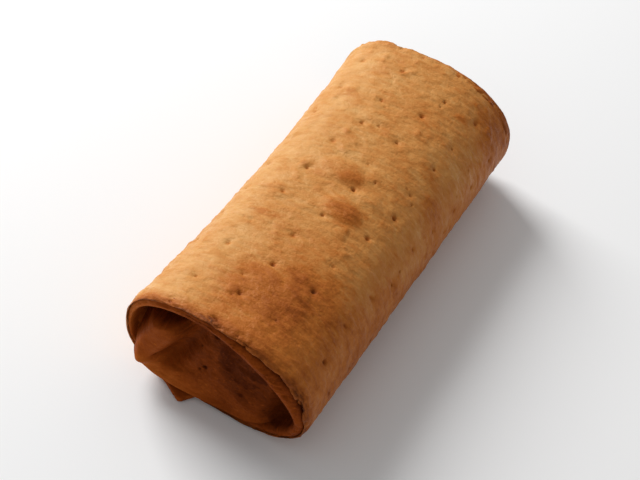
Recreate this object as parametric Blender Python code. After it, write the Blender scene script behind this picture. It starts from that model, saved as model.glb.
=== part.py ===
"""A fried burrito: one sheet of docked dough, tucked in at both ends and rolled shut, as one solid.

Units are metres. +Z is up and +Y runs along the roll. The origin lies on the surface that the
burrito rests on, below the middle of its bounding box. The end at -Y is called the near end.
"""

import math

import bmesh
import bpy
from mathutils import Vector

# Driving dimensions of the roll
ROLL_LENGTH = 0.1210  # from rim to rim
LEFT_HALF_WIDTHS = (0.0286, 0.0296)  # at the near and the far end
RIGHT_HALF_WIDTHS = (0.0291, 0.0291)
HEIGHT = 0.0364
WAIST = 0.0024  # how far the left side draws in at mid length
SADDLE = 0.0005  # how far the top sinks at mid length
EQUATOR = 0.43  # height of the widest line, as a share of the full height
NEAR_POWERS = (2.55, 2.60, 2.45, 2.30)  # superellipse powers: top right, top left, base left, base right
FAR_POWERS = (2.20, 2.70, 2.45, 2.15)
BELLY_DEPTH = 1.04  # the belly curve runs this much deeper than the flat base
SKEW = 0.035  # the roll's ends are off square by this slope

# The rim, a doubled edge of dough round each open end
RIM_PROFILE = (  # (depth behind the rim's plane, share of the inner ply's reach, share of the way in)
    (0.0048, 0.0, 0.00),
    (0.0024, 0.0, 0.02),
    (0.0010, 0.0, 0.09),
    (0.0003, 0.0, 0.20),
    (0.0001, 0.0, 0.33),
    (0.0007, 0.0, 0.43),
    (0.0004, 0.7, 0.51),
    (0.0001, 1.0, 0.66),
    (0.0003, 0.9, 0.82),
    (0.0010, 0.4, 0.95),
    (0.0038, 0.0, 1.00),
)
INNER_PLY = (32.0, 52.0, 0.0014)  # where it is doubled: direction and spread in degrees, and its reach
HOLLOW_LIMITS = (-0.0264, 0.0245, 0.0022, 0.0326)  # left, right, base, top
HOLLOW_POWERS = (1.55, 2.40, 2.40, 2.20)

# The tuck, the folded-in side of the sheet that fills the hollow
TUCK_FOOT = 0.0001  # how far its foot stands out past the rim's plane
TUCK_SLOPE = 0.27  # it leans back by this much for each metre of height
GAP_START = 0.64  # share of the way from the tuck's middle to the wall where it starts to fall back
GAPS = (  # (direction in degrees from the right, spread in degrees, depth)
    (0.0, 32.0, 0.0105),
    (38.0, 30.0, 0.0060),
    (138.0, 28.0, 0.0085),
    (172.0, 20.0, 0.0060),
)
SEAM_DEPTH = 0.0006  # least depth of the line between the tuck and the rim
TUCK_EDGE = 0.975  # share of the way to the wall where the tuck meets it

# Folds on the tuck: start (x, z), end (x, z), radius, height at the start and at the end
FOLDS = (
    ((-0.0130, 0.0210), (-0.0205, 0.0145), 0.0052, 0.0030, 0.0074),  # the ear
    ((-0.0225, 0.0100), (-0.0120, 0.0130), 0.0034, -0.0024, -0.0010),  # the dip below the ear
    ((-0.0020, 0.0038), (-0.0225, 0.0060), 0.0040, 0.0004, 0.0036),  # the foot
    ((0.0040, 0.0070), (0.0150, 0.0062), 0.0046, 0.0000, 0.0020),  # the bulge on the right
)
FAR_FLIP = -1  # the far end's folds are mirrored across the roll
FAR_EASE = 0.80  # and this much as high

# The tongue, a corner of the outer layer that sticks out along the surface below the tuck
TONGUE_OUTLINE = (  # x and how far out of the rim's plane, heel to tip to heel
    (-0.0222, -0.0090),
    (-0.0200, -0.0010),
    (-0.0098, 0.0036),
    (-0.0087, 0.0040),
    (-0.0078, 0.0036),
    (-0.0040, -0.0012),
    (-0.0032, -0.0090),
)
TONGUE_THICKNESS = 0.0021
FAR_TONGUE = 0.55  # the far tongue's reach as a share of the near one's

# The lap, where the free edge of the sheet lies on the underside
LAP_X = -0.0040
LAP_DEPTH = 0.0011
LAP_FADE = 0.0060
LAP_CLEAR_OF_END = 0.0120

# Mesh density
RING_POINTS = 64
BODY_STATIONS = 13
WALL_RINGS = 2
TUCK_RINGS = 13

CRUST_COLOUR = (0.56, 0.30, 0.12, 1.0)
CRUST_ROUGHNESS = 0.55


def clear_scene():
    """Removes every object, so that the file starts empty."""
    for obj in list(bpy.data.objects):
        bpy.data.objects.remove(obj)


def new_collection(name):
    collection = bpy.data.collections.new(name)
    bpy.context.scene.collection.children.link(collection)
    return collection


def lerp(a, b, share):
    return a + (b - a) * share


def smooth(share):
    share = min(1.0, max(0.0, share))
    return share * share * (3.0 - 2.0 * share)


def even_loop(points, count):
    """The closed polyline's points spaced evenly, count of them, from its first point."""
    closed = points + points[:1]
    lengths = [0.0]
    for a, b in zip(closed, closed[1:]):
        lengths.append(lengths[-1] + math.dist(a, b))
    spaced = []
    segment = 0
    for step in range(count):
        wanted = lengths[-1] * step / count
        while lengths[segment + 1] < wanted:
            segment += 1
        share = (wanted - lengths[segment]) / (lengths[segment + 1] - lengths[segment])
        a, b = closed[segment], closed[segment + 1]
        spaced.append((lerp(a[0], b[0], share), lerp(a[1], b[1], share)))
    return spaced


def outline(limits, powers, belly_depth):
    """A closed loop (x, z) between limits (left, right, base, top), from mid base to the right and round."""
    left, right, base, top = limits
    middle = (left + right) / 2.0
    equator = lerp(base, top, EQUATOR)
    fine = 8 * RING_POINTS
    points = []
    for step in range(fine):
        angle = 2.0 * math.pi * step / fine
        c, s = math.sin(angle), -math.cos(angle)
        top_right, top_left, base_left, base_right = powers
        if s > 0.0:
            power = top_right if c > 0.0 else top_left
            z = equator + (top - equator) * s ** (2.0 / power)
        else:
            power = base_right if c > 0.0 else base_left
            z = max(base, equator - (equator - base) * belly_depth * (-s) ** (2.0 / power))
        x = middle + math.copysign((right - middle) * abs(c) ** (2.0 / power), c)
        points.append((x, z))
    return even_loop(points, RING_POINTS)


def roll_outline(along):
    """The roll's outer loop at a share along its length."""
    arch = 1.0 - (2.0 * along - 1.0) ** 2
    left = WAIST * arch - lerp(*LEFT_HALF_WIDTHS, along)
    right = lerp(*RIGHT_HALF_WIDTHS, along)
    powers = [lerp(near, far, along) for near, far in zip(NEAR_POWERS, FAR_POWERS)]
    return outline((left, right, 0.0, HEIGHT - SADDLE * arch), powers, BELLY_DEPTH)


def lap_rise(x, y, z):
    """How far the underside is raised beside the lap's edge."""
    if x > LAP_X or z > LAP_DEPTH:
        return 0.0
    clear = ROLL_LENGTH / 2.0 - abs(y) - LAP_CLEAR_OF_END
    return LAP_DEPTH * smooth(clear / LAP_CLEAR_OF_END) * math.exp((x - LAP_X) / LAP_FADE)


def body_ring(y):
    loop = roll_outline(y / ROLL_LENGTH + 0.5)
    return [Vector((x, y - SKEW * x, z + lap_rise(x, y, z))) for x, z in loop]


def ridge(x, z, fold):
    """The height of a rounded ridge at a point."""
    start, end, radius, start_height, end_height = fold
    run = (end[0] - start[0], end[1] - start[1])
    share = ((x - start[0]) * run[0] + (z - start[1]) * run[1]) / (run[0] ** 2 + run[1] ** 2)
    share = min(1.0, max(0.0, share))
    away = math.hypot(x - start[0] - share * run[0], z - start[1] - share * run[1])
    return lerp(start_height, end_height, share) * math.exp(-((away / radius) ** 2.6))


def hollow_shape(side):
    """The hollow's limits, powers and middle at the end on side -1 or 1."""
    left, right, base, top = HOLLOW_LIMITS
    powers = HOLLOW_POWERS
    if side > 0 and FAR_FLIP < 0:
        left, right = -right, -left
        powers = (powers[1], powers[0], powers[3], powers[2])
    return (left, right, base, top), powers, ((left + right) / 2.0, (base + top) / 2.0)


def bearing(x, z, middle, flip):
    """The direction of (x, z) from the middle, in degrees up from the right, in the near end's sense."""
    return math.degrees(math.atan2(z - middle[1], flip * (x - middle[0])))


def swell(direction, heading, spread, height):
    """A value that peaks at a heading and dies away to either side."""
    turn = (direction - heading + 180.0) % 360.0 - 180.0
    return height * math.exp(-((turn / spread) ** 2))


def tuck_reach(x, z, scale, side):
    """How far the tuck stands out of the rim's plane at (x, z), a share of the way to the wall."""
    flip = 1 if side < 0 else FAR_FLIP
    ease = 1.0 if side < 0 else FAR_EASE
    direction = bearing(x, z, hollow_shape(side)[2], flip)
    fall = smooth((scale - GAP_START) / (1.0 - GAP_START))
    reach = TUCK_FOOT - TUCK_SLOPE * max(0.0, z - HOLLOW_LIMITS[2])
    reach += ease * sum(ridge(flip * x, z, fold) for fold in FOLDS)
    return reach - ease * fall * sum(swell(direction, *gap) for gap in GAPS)


def end_point(side, x, reach, z):
    """A point that stands out of the end's plane by reach."""
    return Vector((x, side * (ROLL_LENGTH / 2.0 + reach) - SKEW * x, z))


def end_rings(side):
    """The rings over the rim, down the hollow's wall and in over the tuck, at the end on side -1 or 1."""
    outer = roll_outline(0.5 + side * 0.5)
    limits, powers, middle = hollow_shape(side)
    hollow = outline(limits, powers, 1.0)
    flip = 1 if side < 0 else FAR_FLIP
    edge = [tuck_reach(x, z, 1.0, side) for x, z in hollow]
    plies = [swell(bearing(x, z, middle, flip), *INNER_PLY) for x, z in hollow]
    rings = []
    for depth, ply_share, share in RIM_PROFILE:
        ring = []
        for (x0, z0), (x1, z1), reach, ply in zip(outer, hollow, edge, plies):
            drop = depth - ply_share * ply
            if share > 0.9:
                drop = min(drop, SEAM_DEPTH - reach)
            ring.append(end_point(side, lerp(x0, x1, share), -drop, lerp(z0, z1, share)))
        rings.append(ring)
    for step in range(-WALL_RINGS, TUCK_RINGS):
        wall = max(0.0, -step / (WALL_RINGS + 1.0))
        scale = lerp(TUCK_EDGE, 1.0, wall) * (1.0 - max(0, step) / TUCK_RINGS) ** 0.9
        ring = []
        for (hollow_x, hollow_z), lip in zip(hollow, rings[len(RIM_PROFILE) - 1]):
            x = lerp(middle[0], hollow_x, scale)
            z = lerp(middle[1], hollow_z, scale)
            point = end_point(side, x, tuck_reach(x, z, scale, side), z)
            ring.append(Vector((x, lerp(point.y, lip.y, wall), z)))
        rings.append(ring)
    return rings


def roll_rings():
    """The whole roll as one run of rings, from the middle of the near tuck to that of the far one."""
    near = end_rings(-1)
    far = end_rings(1)
    reach = ROLL_LENGTH / 2.0 - RIM_PROFILE[0][0]
    body = [body_ring(lerp(-reach, reach, step / BODY_STATIONS)) for step in range(1, BODY_STATIONS)]
    return near[::-1] + body + far


def tongue_rings(side):
    """The tongue's underside and top outlines."""
    flip = 1 if side < 0 else FAR_FLIP
    share = 1.0 if side < 0 else FAR_TONGUE
    rings = []
    for z in (0.0, TONGUE_THICKNESS):
        rings.append([end_point(side, flip * x, out * share, z) for x, out in TONGUE_OUTLINE])
    return rings


def loft(name, rings, collection):
    """A closed mesh object through rings of equal length, capped at both ends."""
    build = bmesh.new()
    rows = [[build.verts.new(point) for point in ring] for ring in rings]
    count = len(rings[0])
    for row, following in zip(rows, rows[1:]):
        for step in range(count):
            after = (step + 1) % count
            build.faces.new((row[step], row[after], following[after], following[step]))
    build.faces.new(rows[0][::-1])
    build.faces.new(rows[-1])
    bmesh.ops.recalc_face_normals(build, faces=build.faces)
    bmesh.ops.triangulate(build, faces=[face for face in build.faces if len(face.verts) > 4])
    mesh = bpy.data.meshes.new(name)
    build.to_mesh(mesh)
    build.free()
    obj = bpy.data.objects.new(name, mesh)
    collection.objects.link(obj)
    return obj


def crust_material():
    material = bpy.data.materials.new("fried_crust")
    material.use_nodes = True
    shader = material.node_tree.nodes["Principled BSDF"]
    shader.inputs["Base Color"].default_value = CRUST_COLOUR
    shader.inputs["Roughness"].default_value = CRUST_ROUGHNESS
    return material


def join(target, other):
    """Fuses other into target and keeps it as a hidden helper."""
    other.hide_render = True
    other.display_type = "WIRE"
    fuse = target.modifiers.new("fuse_" + other.name, "BOOLEAN")
    fuse.operation = "UNION"
    fuse.object = other


def centre_on_base(objects):
    """Moves the meshes so that the origin is under the middle of their common box."""
    points = [vertex.co for obj in objects for vertex in obj.data.vertices]
    low = Vector(min(point[axis] for point in points) for axis in range(3))
    high = Vector(max(point[axis] for point in points) for axis in range(3))
    for obj in objects:
        for vertex in obj.data.vertices:
            vertex.co -= Vector(((low.x + high.x) / 2.0, (low.y + high.y) / 2.0, low.z))


def main():
    clear_scene()
    food = new_collection("burrito")
    helpers = new_collection("helpers")
    burrito = loft("burrito", roll_rings(), food)
    tongues = [loft(name, tongue_rings(side), helpers) for side, name in ((-1, "near_tongue"), (1, "far_tongue"))]
    centre_on_base([burrito] + tongues)
    for tongue in tongues:
        join(burrito, tongue)
    burrito.data.materials.append(crust_material())
    burrito.data.shade_smooth()
    burrito.data.set_sharp_from_angle(angle=math.radians(50.0))


main()
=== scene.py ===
"""A fried burrito: browned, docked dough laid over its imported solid, with both ends folded in.

Lengths are in metres. +Z is up, +Y runs along the roll towards its far end, and the near end
at -Y shows the fold. "Along" is a share of the roll's length, and a "share" across a rim runs
from the outer skin (0) to the wall of the hollow (1).
"""
import logging
import math
from dataclasses import dataclass
from enum import Enum

import bpy
import numpy as np
from mathutils import Matrix, Vector


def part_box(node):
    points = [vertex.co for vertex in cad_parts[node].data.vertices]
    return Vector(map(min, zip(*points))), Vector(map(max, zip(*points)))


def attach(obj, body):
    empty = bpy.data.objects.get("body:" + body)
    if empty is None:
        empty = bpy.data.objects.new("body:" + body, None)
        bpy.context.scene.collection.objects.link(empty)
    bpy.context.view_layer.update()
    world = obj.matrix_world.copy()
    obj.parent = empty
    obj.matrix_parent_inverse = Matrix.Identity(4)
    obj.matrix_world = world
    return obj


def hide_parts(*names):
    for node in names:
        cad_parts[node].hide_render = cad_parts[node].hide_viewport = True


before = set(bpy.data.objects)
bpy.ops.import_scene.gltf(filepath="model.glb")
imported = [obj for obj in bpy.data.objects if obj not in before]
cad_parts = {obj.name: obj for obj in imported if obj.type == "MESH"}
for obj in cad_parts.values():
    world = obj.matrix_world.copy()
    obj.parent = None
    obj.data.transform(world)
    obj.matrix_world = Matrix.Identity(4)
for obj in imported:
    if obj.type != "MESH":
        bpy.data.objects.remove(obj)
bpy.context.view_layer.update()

LOG = logging.getLogger("burrito")
NODE = "burrito"
BODY = "root"
RIM_SPAN = 0.006  # nominal way across a rim, which weighs shares against depths along a path
CENTRE_SHIFT = (0.0002, 0.0009)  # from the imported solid's middle to the roll's own
CEILING_CLEARANCE = 0.00005  # between the highest dough and the top of the solid

Socket = bpy.types.NodeSocket
Numbers = float | np.ndarray


class End(Enum):
    """The two ends of the roll, by the direction that they face along Y."""

    NEAR = -1
    FAR = 1

    @property
    def flip(self) -> int:
        """1 if the folds lie as they do at the near end, -1 if they are mirrored across the roll."""
        return 1 if self is End.NEAR else -1

    @property
    def along(self) -> float:
        """The end's share along the roll."""
        return 0.5 + 0.5 * self.value

    def bearing(self, headings: np.ndarray) -> np.ndarray:
        """Headings in radians as degrees in the near end's sense."""
        return np.degrees(headings) if self is End.NEAR else 180.0 - np.degrees(headings)


def lerp(a: Numbers, b: Numbers, share: Numbers) -> Numbers:
    """The value a share of the way from a to b."""
    return a + (b - a) * share


def ease(share: np.ndarray) -> np.ndarray:
    """A smooth step from 0 to 1 as share goes from 0 to 1."""
    held = np.clip(share, 0.0, 1.0)
    return held * held * (3.0 - 2.0 * held)


def smooth_path(points: list, count: int) -> np.ndarray:
    """Runs a smooth curve through a few control points.

    Args:
        points: Control points, each a tuple of numbers.
        count: How many points to return, spread evenly along the polyline.

    Returns:
        An array of count rows.
    """
    control = np.array(points, float)
    steps = np.linalg.norm(np.diff(control[:, :2], axis=0), axis=1)
    knots = np.concatenate([[0.0], np.cumsum(np.maximum(steps, 1e-9))])
    tangents = np.gradient(control, knots, axis=0)
    wanted = np.linspace(0.0, knots[-1], count)
    cell = np.clip(np.searchsorted(knots, wanted, side="right") - 1, 0, len(knots) - 2)
    width = (knots[cell + 1] - knots[cell])[:, None]
    t = (wanted[:, None] - knots[cell][:, None]) / width
    start, end = control[cell], control[cell + 1]
    lift = t * t * (3.0 - 2.0 * t)
    bend = t * (1.0 - t)
    return lerp(start, end, lift) + width * bend * ((1.0 - t) * tangents[cell] - t * tangents[cell + 1])


@dataclass(frozen=True)
class Ridge:
    """A rounded fold of dough between two points (x, z) of an end's face."""

    start: tuple
    end: tuple
    radius: float
    start_height: float
    end_height: float
    steepness: float = 2.6

    def height(self, x: np.ndarray, z: np.ndarray) -> np.ndarray:
        """How far the fold lifts the dough at each point.

        Args:
            x: Across the end's face, in the near end's sense.
            z: Up.

        Returns:
            One height a point.
        """
        run_x, run_z = self.end[0] - self.start[0], self.end[1] - self.start[1]
        share = ((x - self.start[0]) * run_x + (z - self.start[1]) * run_z) / (run_x**2 + run_z**2)
        share = np.clip(share, 0.0, 1.0)
        away = np.hypot(x - self.start[0] - share * run_x, z - self.start[1] - share * run_z)
        height = lerp(self.start_height, self.end_height, share)
        return height * np.exp(-((away / self.radius) ** self.steepness))


@dataclass(frozen=True)
class Swell:
    """A value that peaks in one direction round an end and dies away to either side."""

    heading: float
    spread: float
    height: float

    def at(self, direction: np.ndarray) -> np.ndarray:
        """The value in each direction, in degrees up from the right."""
        turn = (direction - self.heading + 180.0) % 360.0 - 180.0
        return self.height * np.exp(-((turn / self.spread) ** 2))


@dataclass(frozen=True)
class Cliff:
    """A steep drop behind the top edge of a folded corner, to the left of a line from start to end."""

    start: tuple
    end: tuple
    width: float
    start_depth: float
    end_depth: float
    fade: float

    def drop(self, x: np.ndarray, z: np.ndarray) -> np.ndarray:
        """How far the dough falls at each point.

        Args:
            x: Across the end's face, in the near end's sense.
            z: Up.

        Returns:
            One depth a point.
        """
        run_x, run_z = self.end[0] - self.start[0], self.end[1] - self.start[1]
        length = math.hypot(run_x, run_z)
        along = ((x - self.start[0]) * run_x + (z - self.start[1]) * run_z) / length
        beyond = ((z - self.start[1]) * run_x - (x - self.start[0]) * run_z) / length
        depth = lerp(self.start_depth, self.end_depth, np.clip(along / length, 0.0, 1.0))
        return depth * ease(beyond / self.width) * (1.0 - ease((along - length) / self.fade))


@dataclass(frozen=True)
class RollShape:
    """The form of the rolled dough, shared by every piece."""

    length: float = 0.1210
    left_half: tuple = (0.0286, 0.0296)
    right_half: tuple = (0.0291, 0.0291)
    height: float = 0.0364
    waist: float = 0.0024
    saddle: float = 0.0005
    equator: float = 0.43
    near_powers: tuple = (2.55, 2.60, 2.45, 2.30)
    far_powers: tuple = (2.20, 2.70, 2.45, 2.15)
    belly_depth: float = 1.04
    skew: float = 0.035
    hollow: tuple = (-0.0264, 0.0245, 0.0022, 0.0326)
    hollow_powers: tuple = (1.55, 2.40, 2.40, 2.20)
    inner_ply: Swell = Swell(32.0, 52.0, 0.0014)
    foot: float = 0.0004
    slope: float = 0.27
    gap_starts: tuple = (0.64, 0.60, 0.74, 0.82)
    brow: Cliff = Cliff((-0.0236, 0.0205), (-0.0122, 0.0252), 0.0009, 0.0098, 0.0066, 0.0060)
    gaps: tuple = (
        Swell(0.0, 32.0, 0.0105),
        Swell(38.0, 30.0, 0.0060),
        Swell(134.0, 26.0, 0.0030),
        Swell(174.0, 18.0, 0.0050),
    )
    seam_depth: float = 0.0006
    tuck_edge: float = 0.975
    far_ease: float = 0.66
    ear: Ridge = Ridge((-0.0150, 0.0222), (-0.0206, 0.0130), 0.0050, 0.0062, 0.0052, 4.6)
    dip: Ridge = Ridge((-0.0142, 0.0112), (-0.0085, 0.0205), 0.0030, -0.0030, -0.0022)
    foot_fold: Ridge = Ridge((-0.0020, 0.0038), (-0.0222, 0.0064), 0.0040, 0.0004, 0.0036)
    bulge: Ridge = Ridge((0.0040, 0.0070), (0.0150, 0.0062), 0.0046, 0.0000, 0.0020)
    shift: tuple = (0.0, 0.0)

    def outline(self, limits: tuple, powers: tuple, belly_depth: float, count: int = 1440) -> np.ndarray:
        """A closed loop between four limits.

        Args:
            limits: Left, right, base and top.
            powers: Superellipse powers at the top right, top left, base left and base right.
            belly_depth: How much deeper than the flat base the lower curve runs.
            count: How many points to return.

        Returns:
            Points (x, z), from the middle of the base to the right and round.
        """
        left, right, base, top = limits
        middle, equator = (left + right) / 2.0, lerp(base, top, self.equator)
        angle = np.linspace(0.0, 2.0 * math.pi, count, endpoint=False)
        c, s = np.sin(angle), -np.cos(angle)
        top_right, top_left, base_left, base_right = powers
        upper = s > 0.0
        power = np.where(
            upper, np.where(c > 0.0, top_right, top_left), np.where(c > 0.0, base_right, base_left)
        )
        rise = np.abs(s) ** (2.0 / power)
        z = np.where(
            upper,
            equator + (top - equator) * rise,
            np.maximum(base, equator - (equator - base) * belly_depth * rise),
        )
        x = middle + np.sign(c) * (right - middle) * np.abs(c) ** (2.0 / power)
        return np.stack([x, z], axis=1)

    def skin_outline(self, along: float) -> np.ndarray:
        """The roll's outer loop at a share along its length.

        Args:
            along: Share along the roll.

        Returns:
            Points (x, z).
        """
        arch = 1.0 - (2.0 * along - 1.0) ** 2
        left = self.waist * arch - lerp(*self.left_half, along)
        right = lerp(*self.right_half, along)
        powers = tuple(lerp(a, b, along) for a, b in zip(self.near_powers, self.far_powers))
        return self.outline((left, right, 0.0, self.height - self.saddle * arch), powers, self.belly_depth)

    def hollow_outline(self, end: End) -> np.ndarray:
        """The loop of the hollow's wall at an end.

        Args:
            end: Which end.

        Returns:
            Points (x, z).
        """
        left, right, base, top = self.hollow
        powers = self.hollow_powers
        if end is End.FAR:
            left, right = -right, -left
            powers = (powers[1], powers[0], powers[3], powers[2])
        return self.outline((left, right, base, top), powers, 1.0)

    def middle(self, along: float) -> np.ndarray:
        """The point (x, z) that loops are measured from, at a share along the roll."""
        offset = (self.hollow[0] + self.hollow[1]) / 2.0
        return np.array([lerp(offset, -offset, along), (self.hollow[2] + self.hollow[3]) / 2.0])

    @staticmethod
    def radii(loop: np.ndarray, middle: np.ndarray, headings: np.ndarray) -> np.ndarray:
        """How far a loop lies from its middle at each heading, in radians up from the right.

        Args:
            loop: Points (x, z).
            middle: The point that headings are measured from.
            headings: Directions in radians.

        Returns:
            One radius a heading.
        """
        away = loop - middle
        angle = np.arctan2(away[:, 1], away[:, 0])
        order = np.argsort(angle)
        radius = np.hypot(away[:, 0], away[:, 1])
        return np.interp(headings, angle[order], radius[order], period=2.0 * math.pi)

    def bearing(self, x: np.ndarray, z: np.ndarray, end: End) -> np.ndarray:
        """The direction of a point from the middle in degrees, in the near end's sense."""
        middle = self.middle(end.along)
        return np.degrees(np.arctan2(z - middle[1], end.flip * (x - middle[0])))

    def tuck_reach(self, x: np.ndarray, z: np.ndarray, scale: np.ndarray, end: End) -> np.ndarray:
        """How far the tuck stands out of the rim's plane.

        Args:
            x: Across the roll.
            z: Up.
            scale: Share of the way from the tuck's middle to the hollow's wall.
            end: Which end.

        Returns:
            One length a point, above zero outside the rim's plane.
        """
        calm = 1.0 if end is End.NEAR else self.far_ease
        direction = self.bearing(x, z, end)
        fall = sum(
            gap.at(direction) * ease((scale - start) / (1.0 - start))
            for gap, start in zip(self.gaps, self.gap_starts)
        )
        reach = self.foot - self.slope * np.maximum(0.0, z - self.hollow[2])
        for fold in (self.ear, self.dip, self.foot_fold, self.bulge):
            reach = reach + calm * fold.height(end.flip * x, z)
        return reach - calm * (fall + self.brow.drop(end.flip * x, z))

    def place(self, x: np.ndarray, y: np.ndarray, z: np.ndarray) -> np.ndarray:
        """Puts points of the square roll into the frame: skewed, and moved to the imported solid's place."""
        return np.stack([x + self.shift[0], y - self.skew * x + self.shift[1], z], axis=-1)


def ring_quads(numbers: np.ndarray) -> np.ndarray:
    """The quads between closed rows of points.

    Args:
        numbers: Point numbers, one row of them for each row of points.

    Returns:
        Rows of four point numbers.
    """
    after = np.roll(numbers, -1, axis=1)
    return np.stack([numbers[:-1], numbers[1:], after[1:], after[:-1]], axis=-1).reshape(-1, 4)


def skin_mesh(
    name: str, points: np.ndarray, faces: list, sheet: np.ndarray, weights: dict
) -> bpy.types.Object:
    """Makes a smooth mesh object with the attributes that the dough's nodes and finish read.

    Args:
        name: The object's name.
        points: Rows of x, y, z.
        faces: Lists of point numbers.
        sheet: Rows of two lengths, across and along the flat sheet.
        weights: Attribute name to one number a point.

    Returns:
        The object, linked to the scene, with outward faces.
    """
    mesh = bpy.data.meshes.new(name)
    mesh.from_pydata(points.tolist(), [], faces)
    mesh.validate()
    flat = mesh.attributes.new("sheet", "FLOAT_VECTOR", "POINT")
    level = np.column_stack([sheet, np.zeros(len(sheet))])
    flat.data.foreach_set("vector", level.astype(np.float32).ravel())
    for key, values in weights.items():
        weight = mesh.attributes.new(key, "FLOAT", "POINT")
        weight.data.foreach_set("value", np.asarray(values, np.float32).ravel())
    mesh.shade_smooth()
    obj = bpy.data.objects.new(name, mesh)
    bpy.context.scene.collection.objects.link(obj)
    return obj


class NodeTree:
    """A thin helper that adds and links nodes in a shader or geometry tree."""

    def __init__(self, tree: bpy.types.NodeTree) -> None:
        """Keeps the tree that nodes go into."""
        self.tree = tree

    def add(self, kind: str, values: dict | None = None, **settings: object) -> bpy.types.Node:
        """Adds a node.

        Args:
            kind: The node's type name.
            values: Input name or number to a value or to an output socket that feeds it.
            **settings: Properties of the node.

        Returns:
            The new node.
        """
        node = self.tree.nodes.new(kind)
        for key, value in settings.items():
            setattr(node, key, value)
        for key, value in (values or {}).items():
            socket = node.inputs[key]
            if isinstance(value, Socket):
                self.tree.links.new(value, socket)
            else:
                socket.default_value = value
        return node

    def math(self, operation: str, *values: object, clamp: bool = False) -> Socket:
        """The result of a Math node on one to three values or sockets."""
        settings = {"operation": operation, "use_clamp": clamp}
        return self.add("ShaderNodeMath", dict(enumerate(values)), **settings).outputs[0]

    def scaled(self, vector: Socket, factors: tuple) -> Socket:
        """A vector times a factor on each axis."""
        values = {0: vector, 1: factors}
        return self.add("ShaderNodeVectorMath", values, operation="MULTIPLY").outputs[0]

    def step(
        self, value: Socket, low: float, high: float, start: float = 0.0, end: float = 1.0
    ) -> Socket:
        """A smooth step from start to end as value goes from low to high."""
        values = {"Value": value, "From Min": low, "From Max": high, "To Min": start, "To Max": end}
        return self.add("ShaderNodeMapRange", values, interpolation_type="SMOOTHSTEP").outputs["Result"]

    def noise(self, vector: Socket, size: float, detail: float = 2.0, rough: float = 0.5) -> Socket:
        """Noise from 0 to 1 whose lumps are about size across."""
        values = {"Vector": vector, "Scale": 1.0 / size, "Detail": detail, "Roughness": rough}
        return self.add("ShaderNodeTexNoise", values, noise_dimensions="3D").outputs[0]

    def weighted(self, *terms: tuple) -> Socket:
        """The sum of (socket, factor) terms.

        Args:
            *terms: Pairs of a socket and a factor.

        Returns:
            The sum.
        """
        total = 0.0
        for socket, factor in terms:
            total = self.math("MULTIPLY_ADD", socket, factor, total)
        return total


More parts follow.
